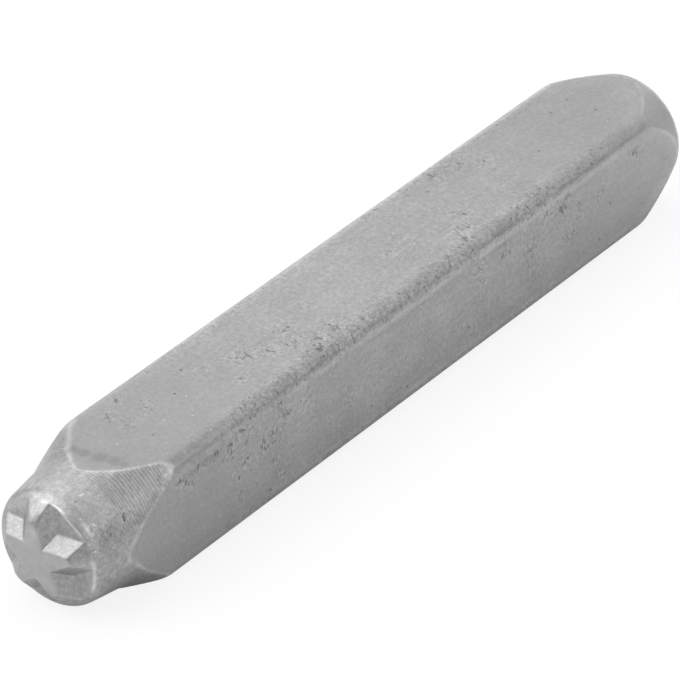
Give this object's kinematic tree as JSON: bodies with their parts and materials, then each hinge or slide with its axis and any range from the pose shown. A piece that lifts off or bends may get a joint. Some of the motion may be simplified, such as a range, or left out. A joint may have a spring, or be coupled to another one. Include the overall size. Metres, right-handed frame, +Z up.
{
  "type": "star punch",
  "caption": "Square steel hand punch with a turned nose that carries a raised star for stamping the mark, and a tapered end for the hammer.",
  "frame": {"origin": "middle of the lower flat, on the surface that the punch lies on", "axes": "+X along the punch from its star to its struck end, +Z up, +Y to the left seen from the star end"},
  "size_m": [0.0744, 0.01, 0.01],
  "materials": {
    "steel": "matte tumbled steel, dull grey, with small pits and brighter worn edges"
  },
  "bodies": {
    "root": {"punch": "steel"}
  },
  "joints": []
}
